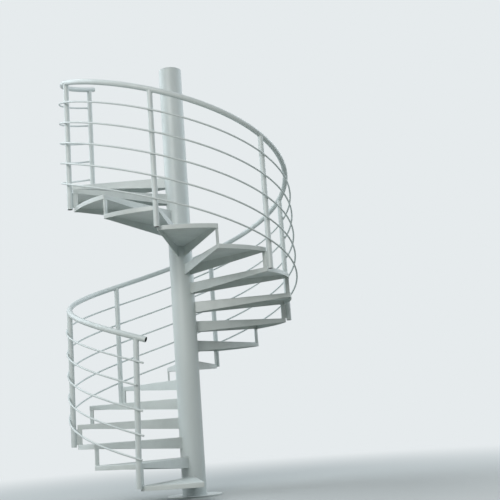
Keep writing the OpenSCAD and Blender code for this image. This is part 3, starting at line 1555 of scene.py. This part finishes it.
@dataclass(frozen=True)
class Studio:
    """Pale floor and backdrop, soft lights, and the camera at the photograph's viewing angle.

    Attributes:
        distance: Horizontal distance from the pole axis to the camera.
        azimuth: Direction of the camera from the pole, in degrees from -Y toward +X.
        height: Height of the camera.
        heading: Direction the camera looks, in degrees from +Y toward +X.
        pitch: How far the camera looks up, in degrees.
        roll: How far the picture's horizontals rise to the right, in degrees.
        focal: Focal length in widths of the square picture.
        sensor: Width of the sensor, in millimetres.
        sight: Farthest distance that the camera sees.
        backdrop: Backdrop, sRGB hex.
        ambient: Light from all around, sRGB hex.
        ambient_strength: Strength of that light.
        floor: Floor as it is seen, sRGB hex.
        floor_dim: Floor as it lights the stair from below, sRGB hex.
        floor_reach: Distance from the pole to the floor's edges.
        fade: Distances from the pole between which the floor fades into the backdrop.
        lights: The lamps.
    """

    distance: float = 8.22982
    azimuth: float = -4.278
    height: float = 0.59326
    heading: float = 8.889
    pitch: float = 11.212
    roll: float = 4.288
    focal: float = 1.757806
    sensor: float = 36.0
    sight: float = 200.0
    backdrop: str = "E6EBED"
    ambient: str = "E8EEF0"
    ambient_strength: float = 0.36
    floor: str = "CCCFCF"
    floor_dim: str = "91928B"
    floor_reach: float = 60.0
    fade: tuple[float, float] = (1.8, 8.0)
    lights: tuple[SoftLight, ...] = (
        SoftLight("sky_left", (-9.0, 3.9, 9.5), 12.0, 970.0, "E9F4FA"),
        SoftLight("sky_right", (9.3, 3.3, 8.0), 10.5, 620.0, "E9F4FA"),
        SoftLight("front_panel", (-5.7, -10.5, 6.5), 6.0, 600.0, "FFFEFB"),
    )

    def build(self) -> None:
        """Makes the camera, the world, the floor and the lights."""
        self._camera()
        self._world()
        self._floor()
        for light in self.lights:
            light.hang()

    def _camera(self) -> None:
        """Puts the camera where the photograph was taken from."""
        a, h, p, r = (math.radians(v) for v in (self.azimuth, self.heading, self.pitch, self.roll))
        forward = Vector((math.sin(h) * math.cos(p), math.cos(h) * math.cos(p), math.sin(p)))
        level = Vector((math.cos(h), -math.sin(h), 0))
        upward = level.cross(forward)
        right = level * math.cos(r) - upward * math.sin(r)
        up = level * math.sin(r) + upward * math.cos(r)
        data = bpy.data.cameras.new("camera")
        data.sensor_fit = "HORIZONTAL"
        data.sensor_width = self.sensor
        data.lens = self.focal * self.sensor
        data.clip_end = self.sight
        made = add_object("camera", data)
        place = Vector((self.distance * math.sin(a), -self.distance * math.cos(a), self.height))
        turn = Matrix((right, up, -forward)).transposed()
        made.matrix_world = Matrix.Translation(place) @ turn.to_4x4()
        bpy.context.scene.camera = made

    def _in_view(self, add: partial) -> NodeSocket:
        """Tells a look at the studio from light that falls on the stair.

        Args:
            add: The function add_node, bound to the tree.

        Returns:
            Output that is 1 where the camera, a reflection or a clear piece looks, and else 0.
        """
        rays = add("ShaderNodeLightPath").node.outputs
        looks = {0: rays["Is Camera Ray"], 1: rays["Is Glossy Ray"]}
        direct = add(MATH, looks, operation="MAXIMUM")
        return add(MATH, {0: direct, 1: rays["Is Transmission Ray"]}, operation="MAXIMUM")

    def _world(self) -> None:
        """Lights the stair evenly, and shows the camera a pale backdrop."""
        world = bpy.data.worlds.new("studio")
        add = start_shader(world)
        light = {"Color": srgb(self.ambient), "Strength": self.ambient_strength}
        lit = add("ShaderNodeBackground", light)
        shown = add("ShaderNodeBackground", {"Color": srgb(self.backdrop), "Strength": 1.0})
        mixed = add(MIX_SHADER, {0: self._in_view(add), 1: lit, 2: shown})
        add("ShaderNodeOutputWorld", {"Surface": mixed})
        bpy.context.scene.world = world

    def _floor(self) -> None:
        """Makes a large pale floor that fades into the backdrop."""
        d = self.floor_reach
        corners = [(-d, -d, 0), (d, -d, 0), (d, d, 0), (-d, d, 0)]
        floor = mesh_object("floor", corners, [(0, 1, 2, 3)])
        made = bpy.data.materials.new("studio_floor")
        add = start_shader(made)
        coords = add("ShaderNodeTexCoord", out="Object")
        away = add("ShaderNodeVectorMath", {0: coords}, "Value", operation="LENGTH")
        start, end = self.fade
        stretch = {"Value": away, "From Min": start, "From Max": end}
        fade = add(RANGE, stretch, interpolation_type="SMOOTHSTEP")
        pale = add("ShaderNodeBsdfDiffuse", {"Color": srgb(self.floor)})
        shown = add("ShaderNodeEmission", {"Color": srgb(self.backdrop)})
        dim = add("ShaderNodeBsdfDiffuse", {"Color": srgb(self.floor_dim)})
        seen = add(MIX_SHADER, {0: fade, 1: pale, 2: shown})
        mixed = add(MIX_SHADER, {0: self._in_view(add), 1: dim, 2: seen})
        add("ShaderNodeOutputMaterial", {"Surface": mixed})
        floor.data.materials.append(made)


def main() -> None:
    """Builds the sub-assemblies in order, then the studio."""
    logging.basicConfig(level=logging.INFO, format="%(name)s %(message)s")
    bpy.context.scene.view_settings.view_transform = "Standard"
    shop = Workshop()
    struts = Struts(shop)
    Pole(shop).build()
    Treads(shop).build()
    struts.build()
    Railing(shop, struts).build()
    Studio().build()


if __name__ == "__main__":
    main()
